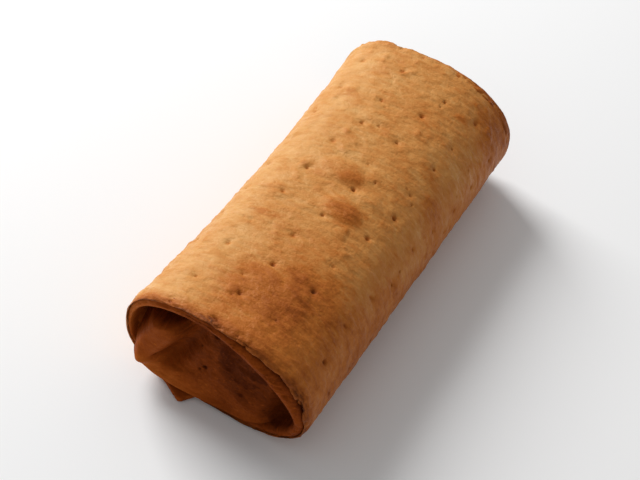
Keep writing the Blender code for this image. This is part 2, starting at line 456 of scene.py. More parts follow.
@dataclass(frozen=True)
class DockedDough:
    """Geometry nodes that prick the dough with docking pins and raise its wrinkles and small blisters."""

    pitch_around: float = 0.0136
    pitch_along: float = 0.01185
    column_slope: float = 0.090
    row_slope: float = 0.050
    phase: tuple = (0.0041, 0.0008)
    jitter: float = 0.26
    hole_radius: float = 0.00074
    hole_depth: float = 0.0010
    dimple_radius: float = 0.0026
    dimple_depth: float = 0.00024
    blister_size: float = 0.0052
    blister_height: float = 0.00045
    wrinkle_height: float = 0.00048
    swelling_height: float = 0.0007
    slit_depth: float = 0.0009
    inset: float = 0.00055
    stray_pitch: float = 0.0105
    hole_wander: float = 0.0007
    lump_size: float = 0.012
    lump_height: float = 0.0010
    crumb_height: float = 0.0028
    ceiling: float = 0.0363

    def build(self) -> bpy.types.NodeTree:
        """Makes the geometry node tree, with its sizes as named inputs.

        Returns:
            The tree.
        """
        tree = bpy.data.node_groups.new("docked_dough", "GeometryNodeTree")
        face = tree.interface
        face.new_socket("Geometry", in_out="INPUT", socket_type="NodeSocketGeometry")
        for label, value in self.sizes().items():
            face.new_socket(label, in_out="INPUT", socket_type="NodeSocketFloat").default_value = value
        face.new_socket("Crust", in_out="INPUT", socket_type="NodeSocketMaterial")
        face.new_socket("Geometry", in_out="OUTPUT", socket_type="NodeSocketGeometry")
        nodes = NodeTree(tree)
        given = nodes.add("NodeGroupInput").outputs
        pit, dimple = self.pins(nodes, given)
        blister = self.blisters(nodes)
        slit = self.slits(nodes)
        height = self.height(nodes, given, pit, dimple, blister, slit)
        moved = self.move(nodes, given, height)
        for name, value in (("pit", pit), ("dimple", dimple), ("blister", blister), ("slit", slit)):
            values = {"Geometry": moved, "Name": name, "Value": value}
            store = nodes.add("GeometryNodeStoreNamedAttribute", values, data_type="FLOAT", domain="POINT")
            moved = store.outputs[0]
        real = nodes.add("GeometryNodeRealizeInstances", {"Geometry": moved}).outputs[0]
        dressed = nodes.add("GeometryNodeSetMaterial", {"Geometry": real, "Material": given["Crust"]})
        nodes.add("NodeGroupOutput", {"Geometry": dressed.outputs[0]})
        return tree

    def sizes(self) -> dict:
        """Named inputs and their values.

        Returns:
            Input name to value.
        """
        return {
            "Hole Radius": self.hole_radius,
            "Hole Depth": self.hole_depth,
            "Dimple Radius": self.dimple_radius,
            "Dimple Depth": self.dimple_depth,
            "Blister Height": self.blister_height,
            "Wrinkle Height": self.wrinkle_height,
            "Swelling Height": self.swelling_height,
            "Slit Depth": self.slit_depth,
            "Inset": self.inset,
            "Ceiling": self.ceiling,
        }

    @staticmethod
    def named(nodes: NodeTree, name: str, kind: str = "FLOAT") -> Socket:
        """A stored attribute of the mesh."""
        return nodes.add("GeometryNodeInputNamedAttribute", {"Name": name}, data_type=kind).outputs[0]

    def pins(self, nodes: NodeTree, given: object) -> tuple:
        """The holes and the shallow dimples round them, each from 0 to 1.

        Args:
            nodes: The tree to add to.
            given: The tree's inputs.

        Returns:
            The holes and the dimples.
        """
        sheet = self.named(nodes, "sheet", "FLOAT_VECTOR")
        parts = nodes.add("ShaderNodeSeparateXYZ", {0: sheet}).outputs
        around = nodes.math("MULTIPLY_ADD", parts["Y"], -self.column_slope, parts["X"])
        along = nodes.math("MULTIPLY_ADD", parts["X"], self.row_slope, parts["Y"])
        centre = 0.5 * self.jitter
        shift_around = self.phase[0] - centre * self.pitch_around
        shift_along = self.phase[1] - centre * self.pitch_along
        around = nodes.math("DIVIDE", nodes.math("SUBTRACT", around, shift_around), self.pitch_around)
        along = nodes.math("DIVIDE", nodes.math("SUBTRACT", along, shift_along), self.pitch_along)
        lattice = nodes.add("ShaderNodeCombineXYZ", {"X": around, "Y": along}).outputs[0]
        values = {"Vector": lattice, "Scale": 1.0, "Randomness": self.jitter}
        cells = nodes.add("ShaderNodeTexVoronoi", values, voronoi_dimensions="2D", feature="F1").outputs
        chance = nodes.add("ShaderNodeSeparateXYZ", {0: cells["Color"]}).outputs
        away = nodes.math("MULTIPLY", cells["Distance"], (self.pitch_around + self.pitch_along) / 2.0)
        ragged = nodes.noise(nodes.add("GeometryNodeInputPosition").outputs[0], 0.0016, 2.0)
        drawn = nodes.math("SUBTRACT", away, self.hole_wander / 2.0)
        away = nodes.math("MULTIPLY_ADD", ragged, self.hole_wander, drawn)
        radius = nodes.math("MULTIPLY", given["Hole Radius"], nodes.step(chance["Y"], 0.0, 1.0, 0.75, 1.5))
        hole = self.bowl(nodes, away, radius)
        extra = {"Vector": sheet, "Scale": 1.0 / self.stray_pitch, "Randomness": 1.0}
        strays = nodes.add("ShaderNodeTexVoronoi", extra, voronoi_dimensions="2D", feature="F1").outputs
        rare = nodes.add("ShaderNodeSeparateXYZ", {0: strays["Color"]}).outputs
        stray_away = nodes.math("MULTIPLY", strays["Distance"], self.stray_pitch)
        stray = self.bowl(nodes, stray_away, nodes.math("MULTIPLY", given["Hole Radius"], 0.7))
        stray = nodes.math("MULTIPLY", stray, nodes.step(rare["X"], 0.60, 0.62))
        pit = nodes.math("MAXIMUM", hole, nodes.math("MULTIPLY", stray, 0.7))
        pit = nodes.math("MULTIPLY", pit, nodes.step(chance["X"], 0.0, 1.0, 0.40, 1.0))
        pit = nodes.math("MULTIPLY", pit, self.named(nodes, "dock"))
        dimple = self.bowl(nodes, away, given["Dimple Radius"])
        return pit, nodes.math("MULTIPLY", dimple, self.named(nodes, "dock"))

    @staticmethod
    def bowl(nodes: NodeTree, away: Socket, radius: Socket) -> Socket:
        """1 at the middle, falling smoothly to 0 at the radius."""
        share = nodes.math("DIVIDE", away, radius)
        return nodes.step(share, 1.0, 0.15)

    def blisters(self, nodes: NodeTree) -> Socket:
        """Small flat bubbles in the dough, from 0 to 1.

        Args:
            nodes: The tree to add to.

        Returns:
            The bubbles.
        """
        place = nodes.add("GeometryNodeInputPosition").outputs[0]
        small = nodes.step(nodes.noise(place, self.blister_size, 1.5), 0.56, 0.74)
        large = nodes.step(nodes.noise(place, 3.1 * self.blister_size, 1.0), 0.42, 0.66)
        both = nodes.math("MULTIPLY", small, nodes.math("MULTIPLY_ADD", large, 0.75, 0.25))
        return nodes.math("MAXIMUM", both, nodes.math("MULTIPLY", self.named(nodes, "swelling"), 0.9))

    def slits(self, nodes: NodeTree) -> Socket:
        """Cracks that run round the crumbly edge of the sheet, from 0 to 1.

        Args:
            nodes: The tree to add to.

        Returns:
            The cracks.
        """
        place = nodes.add("GeometryNodeInputPosition").outputs[0]
        stretched = nodes.scaled(self.named(nodes, "sheet", "FLOAT_VECTOR"), (0.22, 1.0, 1.0))
        ribs = nodes.math("ABSOLUTE", nodes.math("SUBTRACT", nodes.noise(stretched, 0.0013, 2.0), 0.5))
        here = nodes.step(nodes.noise(place, 0.0075, 1.0), 0.46, 0.60)
        slit = nodes.math("MULTIPLY", nodes.step(ribs, 0.075, 0.01), here)
        return nodes.math("MULTIPLY", slit, self.named(nodes, "crumble"))

    def height(
        self, nodes: NodeTree, given: object, pit: Socket, dimple: Socket, blister: Socket, slit: Socket
    ) -> Socket:
        """How far the skin moves out at each point.

        Args:
            nodes: The tree to add to.
            given: The tree's inputs.
            pit: The holes.
            dimple: The dimples.
            blister: The bubbles.
            slit: The cracks.

        Returns:
            The height.
        """
        place = nodes.add("GeometryNodeInputPosition").outputs[0]
        stretched = nodes.scaled(self.named(nodes, "sheet", "FLOAT_VECTOR"), (0.34, 1.0, 1.0))
        folds = nodes.noise(stretched, 0.0018, 3.0, 0.6)
        puffed = nodes.math("MULTIPLY_ADD", nodes.noise(stretched, 0.0030, 2.0), 1.6, 0.1)
        lumps = nodes.noise(place, self.lump_size, 2.0)
        flaky = nodes.scaled(self.named(nodes, "sheet", "FLOAT_VECTOR"), (0.40, 1.0, 1.0))
        rough = nodes.math("SUBTRACT", nodes.noise(flaky, 0.0019, 2.0, 0.55), 0.5)
        total = nodes.weighted(
            (nodes.math("MULTIPLY", pit, given["Hole Depth"]), -1.0),
            (nodes.math("MULTIPLY", dimple, given["Dimple Depth"]), -1.0),
            (nodes.math("MULTIPLY", blister, given["Blister Height"]), 1.0),
            (nodes.math("MULTIPLY", self.named(nodes, "swelling"), given["Swelling Height"]), puffed),
            (nodes.math("MULTIPLY", nodes.math("SUBTRACT", folds, 0.5), given["Wrinkle Height"]), 2.0),
            (nodes.math("MULTIPLY", slit, given["Slit Depth"]), -1.0),
            (nodes.math("SUBTRACT", lumps, 0.5), self.lump_height),
            (nodes.math("MULTIPLY", rough, self.named(nodes, "crumble")), self.crumb_height),
            (given["Inset"], -1.0),
        )
        return nodes.math("MULTIPLY", total, self.named(nodes, "skin"))

    @staticmethod
    def move(nodes: NodeTree, given: object, height: Socket) -> Socket:
        """Moves each point along its normal, and keeps it between the resting surface and the ceiling.

        Args:
            nodes: The tree to add to.
            given: The tree's inputs.
            height: How far each point moves.

        Returns:
            The moved geometry.
        """
        normal = nodes.add("GeometryNodeInputNormal").outputs[0]
        offset = nodes.add("ShaderNodeVectorMath", {0: normal, "Scale": height}, operation="SCALE")
        values = {"Geometry": given["Geometry"], "Offset": offset.outputs[0]}
        moved = nodes.add("GeometryNodeSetPosition", values).outputs[0]
        place = nodes.add("GeometryNodeInputPosition").outputs[0]
        parts = nodes.add("ShaderNodeSeparateXYZ", {0: place}).outputs
        level = nodes.math("MINIMUM", nodes.math("MAXIMUM", parts["Z"], 0.0), given["Ceiling"])
        held = nodes.add("ShaderNodeCombineXYZ", {"X": parts["X"], "Y": parts["Y"], "Z": level}).outputs[0]
        return nodes.add("GeometryNodeSetPosition", {"Geometry": moved, "Position": held}).outputs[0]

    @staticmethod
    def apply(obj: bpy.types.Object, tree: bpy.types.NodeTree, inputs: dict) -> bpy.types.Object:
        """Runs the tree on an object and keeps the result as its plain mesh.

        Args:
            obj: The object to change.
            tree: The geometry node tree.
            inputs: Input name to value; the others keep their defaults.

        Returns:
            The same object.
        """
        modifier = obj.modifiers.new("nodes", "NODES")
        modifier.node_group = tree
        for item in tree.interface.items_tree:
            if item.in_out == "INPUT" and item.name in inputs:
                modifier[item.identifier] = inputs[item.name]
        graph = bpy.context.evaluated_depsgraph_get()
        shape = obj.evaluated_get(graph)
        result = bpy.data.meshes.new_from_object(shape, preserve_all_data_layers=True, depsgraph=graph)
        obj.modifiers.remove(modifier)
        old = obj.data
        obj.data = result
        bpy.data.meshes.remove(old)
        result.name = obj.name
        return obj


@dataclass(frozen=True)
class Dressing:
    """What turns a bare mesh into finished dough: the docking tree and a crust."""

    tree: bpy.types.NodeTree
    crust: bpy.types.Material

    def apply(self, obj: bpy.types.Object) -> bpy.types.Object:
        """Pricks, wrinkles and colours an object, and returns it."""
        return DockedDough.apply(obj, self.tree, {"Crust": self.crust})


@dataclass(frozen=True)
class CrustFinish:
    """Fried dough: one run of colour from pale to burnt, read by how brown each spot is painted, painted
    shade and highlights included.
    """

    stops: tuple = (
        (0.00, (0.660, 0.345, 0.115)),
        (0.25, (0.570, 0.240, 0.060)),
        (0.50, (0.470, 0.143, 0.022)),
        (0.70, (0.330, 0.082, 0.010)),
        (0.85, (0.200, 0.044, 0.005)),
        (1.00, (0.080, 0.015, 0.002)),
    )
    roughness: float = 0.48
    specular: float = 0.21
    bump: float = 0.00042
    patchy: float = 0.40
    mottled: float = 0.38
    streaked: float = 0.40
    flaked: float = 0.085
    flake_size: float = 0.0026
    blistered: float = 0.12
    grained: float = 0.16
    flecked: float = -0.11
    green: float = 1.0
    sheen_tint: tuple = (1.0, 0.66, 0.42, 1.0)

    def build(self, name: str) -> bpy.types.Material:
        """Makes the material.

        Args:
            name: The material's name.

        Returns:
            The material.
        """
        material = bpy.data.materials.new(name)
        material.use_nodes = True
        material.node_tree.nodes.clear()
        nodes = NodeTree(material.node_tree)
        place = nodes.add("ShaderNodeTexCoord").outputs["Object"]
        sheet = nodes.add("ShaderNodeAttribute", attribute_name="sheet").outputs["Vector"]
        stretched = nodes.scaled(sheet, (0.42, 1.0, 1.0))
        streaks = nodes.noise(stretched, 0.0015, 3.0, 0.6)
        patches = nodes.noise(place, 0.017, 2.0)
        mottle = nodes.noise(place, 0.0046, 3.0, 0.6)
        grain = nodes.noise(place, 0.0007, 3.0, 0.7)
        flecks = nodes.step(nodes.noise(stretched, 0.0008, 2.0), 0.60, 0.74)
        flake = self.flakes(nodes, sheet)
        # The stored tone carries painted shade and painted highlights as well as the dough's own brown.
        brownness_with_shading = nodes.weighted(
            (self.stored(nodes, "browning_with_shading"), 1.0),
            (nodes.math("SUBTRACT", patches, 0.5), self.patchy),
            (nodes.math("SUBTRACT", mottle, 0.5), self.mottled),
            (nodes.math("SUBTRACT", streaks, 0.5), self.streaked),
            (nodes.math("SUBTRACT", grain, 0.5), self.grained),
            (flecks, self.flecked),
            (nodes.math("SUBTRACT", flake, 0.5), self.flaked),
            (self.stored(nodes, "blister"), self.blistered),
            (self.stored(nodes, "dimple"), 0.04),
            (self.stored(nodes, "pit"), 0.34),
            (self.stored(nodes, "slit"), 0.18),
        )
        ramp = nodes.add("ShaderNodeValToRGB", {0: nodes.math("ADD", brownness_with_shading, 0.0, clamp=True)})
        self.fill(ramp.color_ramp)
        gloss = nodes.step(mottle, 0.3, 0.7, self.roughness - 0.08, self.roughness + 0.14)
        relief = nodes.weighted((streaks, 1.0), (grain, 0.45), (mottle, 0.8))
        bump = nodes.add("ShaderNodeBump", {"Height": relief, "Distance": self.bump, "Strength": 1.0})
        values = {
            "Base Color": ramp.outputs[0],
            "Roughness": gloss,
            "Normal": bump.outputs[0],
            "Specular IOR Level": self.specular,
            "Specular Tint": self.sheen_tint,
        }
        shader = nodes.add("ShaderNodeBsdfPrincipled", values)
        nodes.add("ShaderNodeOutputMaterial", {"Surface": shader.outputs[0]})
        return material

    def flakes(self, nodes: NodeTree, sheet: Socket) -> Socket:
        """Ragged flakes of the outermost layer, each with a random tone from 0 to 1.

        Args:
            nodes: The tree to add to.
            sheet: Sheet coordinates.

        Returns:
            The tone.
        """
        values = {"Vector": sheet, "Scale": 1.0 / self.flake_size, "Detail": 3.0}
        wander = nodes.add("ShaderNodeTexNoise", values).outputs["Color"]
        offset = nodes.scaled(wander, (0.0110, 0.0056, 0.0))
        moved = nodes.add("ShaderNodeVectorMath", {0: sheet, 1: offset}, operation="ADD").outputs[0]
        flat = nodes.scaled(moved, (0.50, 1.0, 0.0))
        values = {"Vector": flat, "Scale": 1.0 / self.flake_size}
        cells = nodes.add("ShaderNodeTexVoronoi", values, voronoi_dimensions="2D", feature="F1")
        return nodes.add("ShaderNodeSeparateXYZ", {0: cells.outputs["Color"]}).outputs["X"]

    @staticmethod
    def stored(nodes: NodeTree, name: str) -> Socket:
        """A stored weight of the piece."""
        return nodes.add("ShaderNodeAttribute", attribute_name=name).outputs["Fac"]

    def fill(self, ramp: bpy.types.ColorRamp) -> None:
        """Puts the colour stops on a ramp.

        Args:
            ramp: The ramp to fill.
        """
        ramp.interpolation = "LINEAR"
        while len(ramp.elements) > 1:
            ramp.elements.remove(ramp.elements[-1])
        for position, colour in self.stops:
            element = ramp.elements[0] if position == self.stops[0][0] else ramp.elements.new(position)
            element.position = position
            element.color = (colour[0], colour[1] * self.green, colour[2] * self.green, 1.0)


@dataclass(frozen=True)
class BrowningAndShade:
    """Brown tone painted on the roll: darker towards the right side and its flank, towards the bottom and
    towards the near end, and in a few patches. The darkening of the right side and the near end is partly
    frying and partly painted shade, since both face away from the key light.
    """

    base: float = 0.10
    deepest: float = 0.56
    # side_tone, flank_tone and near_tone are partly painted shade on the right side and the near end, which
    # face away from the key light; low_tone darkens towards the bottom.
    side_tone: float = 0.21
    flank_tone: float = 0.12
    low_tone: float = 0.19
    near_tone: float = 0.26
    edge_tone: float = 0.48
    edge_limit: float = 0.86
    patches: tuple = (
        # across the sheet, along it, half size across, half size along, strength
        (0.0030, 0.0036, 0.0036, 0.0026, 0.24),
        (-0.0060, 0.0010, 0.0026, 0.0016, 0.18),
        (0.0078, -0.0084, 0.0050, 0.0031, 0.26),
        (-0.0150, 0.0350, 0.0050, 0.0014, 0.16),
        (-0.0120, 0.0320, 0.0036, 0.0022, 0.16),
        (-0.0125, 0.0470, 0.0040, 0.0024, 0.12),
        (-0.0100, -0.0190, 0.0044, 0.0014, 0.18),
        (0.0130, -0.0326, 0.0064, 0.0050, 0.20),
        (0.0130, -0.0445, 0.0070, 0.0034, 0.18),
        (0.0090, -0.0400, 0.0190, 0.0170, 0.13),
        (-0.0010, -0.0430, 0.0090, 0.0080, 0.22),
        (-0.0150, -0.0600, 0.0170, 0.0046, 0.42),
        (0.0170, 0.0452, 0.0028, 0.0014, 0.22),
        (0.0280, 0.0130, 0.0050, 0.0040, 0.20),
        (0.0300, 0.0520, 0.0100, 0.0080, 0.20),
        (0.0100, 0.0000, 0.0060, 0.0030, -0.14),
        (0.0080, 0.0130, 0.0040, 0.0030, -0.10),
    )
    bubbles: tuple = (
        (-0.0006, 0.0050, 0.0064, 0.0042, 1.0),
        (0.0062, -0.0076, 0.0058, 0.0040, 0.9),
        (-0.0030, 0.0290, 0.0050, 0.0030, 0.4),
        (0.0110, 0.0000, 0.0036, 0.0022, 0.5),
        (-0.0130, -0.0100, 0.0050, 0.0026, 0.4),
    )

    @staticmethod
    def spots(sheet: np.ndarray, spots: tuple, sharpness: float = 1.4) -> np.ndarray:
        """The sum of oval spots on the sheet, soft or, with more sharpness, flat with a steep edge.

        Args:
            sheet: Rows of two lengths, across and along the flat sheet.
            spots: Tuples of place, half sizes and strength.
            sharpness: How steep the edges are.

        Returns:
            One sum a point.
        """
        total = np.zeros(len(sheet))
        for across, along, half_across, half_along, strength in spots:
            away = ((sheet[:, 0] - across) / half_across) ** 2 + ((sheet[:, 1] - along) / half_along) ** 2
            total += strength * np.exp(-(away**sharpness))
        return total

    def browning_with_shading(self, points: np.ndarray, sheet: np.ndarray) -> np.ndarray:
        """How brown each point is painted, painted shade on the right side and the near end included, before
        the fine mottling.

        Args:
            points: Rows of x, y, z.
            sheet: Rows of two lengths, across and along the flat sheet.

        Returns:
            One tone a point, painted shade included, from 0 for pale to 1 for burnt.
        """
        side = ease((points[:, 0] + 0.022) / 0.036)
        low = ease((0.026 - points[:, 2]) / 0.022)
        near = ease((-0.020 - points[:, 1]) / 0.044) * ease((points[:, 0] + 0.022) / 0.040)
        edge = ease((-0.0552 - points[:, 1]) / 0.0050)
        flank = ease((points[:, 0] - 0.017) / 0.012)
        # Painted shade, partly frying: the side, flank and near terms darken the faces turned away from the
        # key light.
        body = self.base + self.side_tone * side + self.flank_tone * flank + self.low_tone * low
        body = body + self.near_tone * near + self.spots(sheet, self.patches)
        body = np.minimum(body, 0.5 * (body + self.deepest))
        return body + self.edge_tone * edge * np.clip(self.edge_limit - body, 0.0, 1.0)


@dataclass(frozen=True)
class Row:
    """One row of the wrap's points, round the roll, and what is stored on them."""

    points: np.ndarray
    skin: float
    crumble: np.ndarray
    into: np.ndarray
    dark: np.ndarray


@dataclass(frozen=True)
class Wrap:
    """The outer sheet of dough: the whole roll between the cracks in its two rims."""

    roll: RollShape
    browning_and_shade: BrowningAndShade = BrowningAndShade()
    columns: int = 322
    stations: int = 266
    rim_rows: int = 20
    base_density: float = 0.45
    lap_x: float = -0.0040
    lap_depth: float = 0.0011
    lap_fade: float = 0.0060
    lap_clear: float = 0.0120
    # These two darken each rim towards the crack between its plies, most at the upper left: partly the rim's
    # own brown, partly painted shade in the crack.
    edge_tone: float = 0.20
    rim_scorch_and_shade: Swell = Swell(138.0, 52.0, 1.40)
    ragged: Swell = Swell(40.0, 45.0, 0.70)
    ragged_floor: float = 0.22
    sheet_turn: float = 0.0045
    hidden_rows: tuple = ((0.0050, 0.62), (0.0110, 0.80), (0.0260, 1.25))
    rim_path: tuple = (
        # depth behind the rim's plane, share of the way in
        (0.0048, 0.000),
        (0.0024, 0.020),
        (0.0010, 0.090),
        (0.0003, 0.200),
        (0.0001, 0.320),
        (0.0004, 0.400),
        (0.0013, 0.425),
        (0.0032, 0.420),
    )

    def headings(self) -> np.ndarray:
        """Directions of the columns, packed closer round the sides and top than on the base.

        Returns:
            Directions in radians.
        """
        loop = self.roll.skin_outline(0.5)
        following = np.roll(loop, -1, axis=0)
        length = np.hypot(*(following - loop).T)
        length = length * np.where(loop[:, 1] < 0.0004, self.base_density, 1.0)
        run = np.concatenate([[0.0], np.cumsum(length)])
        wanted = np.linspace(0.0, run[-1], self.columns, endpoint=False)
        share = np.interp(wanted, run, np.arange(len(loop) + 1))
        closed = np.vstack([loop, loop[:1]])
        x = np.interp(share, np.arange(len(closed)), closed[:, 0])
        z = np.interp(share, np.arange(len(closed)), closed[:, 1])
        middle = self.roll.middle(0.5)
        return np.arctan2(z - middle[1], x - middle[0])

    def across(self, headings: np.ndarray) -> np.ndarray:
        """How far round the sheet each column lies from the top of the roll, to the right.

        Args:
            headings: Directions of the columns.

        Returns:
            One length a column.
        """
        middle = self.roll.middle(0.5)
        radius = self.roll.radii(self.roll.skin_outline(0.5), middle, headings)
        x, z = radius * np.cos(headings), radius * np.sin(headings)
        steps = np.hypot(np.roll(x, -1) - x, np.roll(z, -1) - z)
        run = np.concatenate([[0.0], np.cumsum(steps)[:-1]])
        top = int(np.argmin(np.abs(headings - math.pi / 2.0)))
        return run[top] - run

    def lap_rise(self, x: np.ndarray, y: np.ndarray, z: np.ndarray) -> np.ndarray:
        """How far the underside is raised beside the edge of the lap.

        Args:
            x: Across the roll.
            y: Along the roll.
            z: Up.

        Returns:
            One height a point.
        """
        clear = self.roll.length / 2.0 - np.abs(y) - self.lap_clear
        fade = np.exp(np.minimum(0.0, x - self.lap_x) / self.lap_fade)
        rise = self.lap_depth * ease(clear / self.lap_clear) * fade
        return np.where((x > self.lap_x) | (z > self.lap_depth), 0.0, rise)

    def loop(self, along: float, headings: np.ndarray) -> tuple:
        """The skin's x and z at each heading, at a share along the roll.

        Args:
            along: Share along the roll.
            headings: Directions of the columns.

        Returns:
            x and z, one of each a column.
        """
        middle = self.roll.middle(along)
        radius = self.roll.radii(self.roll.skin_outline(along), middle, headings)
        return middle[0] + radius * np.cos(headings), middle[1] + radius * np.sin(headings)

    def end_rows(self, end: End, headings: np.ndarray) -> list:
        """Rows over one rim and down into its crack, from the skin inwards.

        Args:
            end: Which end.
            headings: Directions of the columns.

        Returns:
            The rows.
        """
        middle = self.roll.middle(end.along)
        outer = self.roll.radii(self.roll.skin_outline(end.along), middle, headings)
        inner = self.roll.radii(self.roll.hollow_outline(end), middle, headings)
        bearing = end.bearing(headings)
        ragged = self.ragged_floor + self.ragged.at(bearing)
        control = [(depth, share * RIM_SPAN, share) for depth, share in self.rim_path]
        path = smooth_path(control, self.rim_rows)
        rows = []
        for number, (depth, share) in enumerate([(p[0], p[2]) for p in path] + list(self.hidden_rows)):
            radius = lerp(outer, inner, share)
            x, z = middle[0] + radius * np.cos(headings), middle[1] + radius * np.sin(headings)
            y = np.full_like(x, end.value * (self.roll.length / 2.0 - depth))
            shown = float(number < self.rim_rows - 1)
            crumble = shown * ease(np.array((0.0042 - depth) / 0.0036)) * ragged
            # Darker towards the crack between the plies: partly browning, partly painted shade.
            dark = share * (self.edge_tone + self.rim_scorch_and_shade.at(bearing))
            rows.append(Row(self.roll.place(x, y, z), shown, crumble, np.full_like(x, share), dark))
        return rows

    def body_rows(self, headings: np.ndarray) -> list:
        """Rows of the skin between the two rims.

        Args:
            headings: Directions of the columns.

        Returns:
            The rows, from the near end to the far end.
        """
        reach = self.roll.length / 2.0 - self.rim_path[0][0]
        still = np.zeros_like(headings)
        rows = []
        for y in np.linspace(-reach, reach, self.stations)[1:-1]:
            x, z = self.loop(y / self.roll.length + 0.5, headings)
            row_y = np.full_like(x, y)
            points = self.roll.place(x, row_y, z + self.lap_rise(x, row_y, z))
            rows.append(Row(points, 1.0, still, still, still))
        return rows

    def build(self, dressing: Dressing) -> bpy.types.Object:
        """Makes the wrap, with its holes and wrinkles, and dresses it.

        Args:
            dressing: The docking tree and the crust.

        Returns:
            The finished object.
        """
        headings = self.headings()
        near, far = self.end_rows(End.NEAR, headings), self.end_rows(End.FAR, headings)
        rows = near[::-1] + self.body_rows(headings) + far
        points = np.concatenate([row.points for row in rows])
        across = np.tile(self.across(headings), len(rows))
        into = np.concatenate([row.into for row in rows])
        dark = np.concatenate([row.dark for row in rows])
        crumble = np.concatenate([row.crumble for row in rows])
        turned = points[:, 1] + np.sign(points[:, 1]) * self.sheet_turn * into
        sheet = np.stack([across, turned], axis=-1)
        base = ease((0.0030 - points[:, 2]) / 0.0030)
        browning_with_shading = self.browning_and_shade.browning_with_shading(points, sheet)
        # Painted shade in the crack, with some browning of the rim.
        rim_scorch_and_crack_shade = np.clip(dark - 0.03, 0.0, 0.50) * np.clip(0.9 - browning_with_shading, 0.0, 1.0)
        weights = {
            "skin": np.repeat([row.skin for row in rows], self.columns) * (1.0 - 0.6 * base),
            "crumble": crumble * (1.0 - 0.5 * base),
            "dock": 1.0 - crumble,
            "swelling": self.browning_and_shade.spots(sheet, self.browning_and_shade.bubbles, 2.4),
            "browning_with_shading": browning_with_shading + 0.06 * crumble + rim_scorch_and_crack_shade,
        }
        numbers = np.arange(len(points)).reshape(len(rows), self.columns)
        faces = ring_quads(numbers).tolist() + [numbers[0].tolist(), numbers[-1][::-1].tolist()]
        return dressing.apply(skin_mesh("wrap", points, faces, sheet, weights))


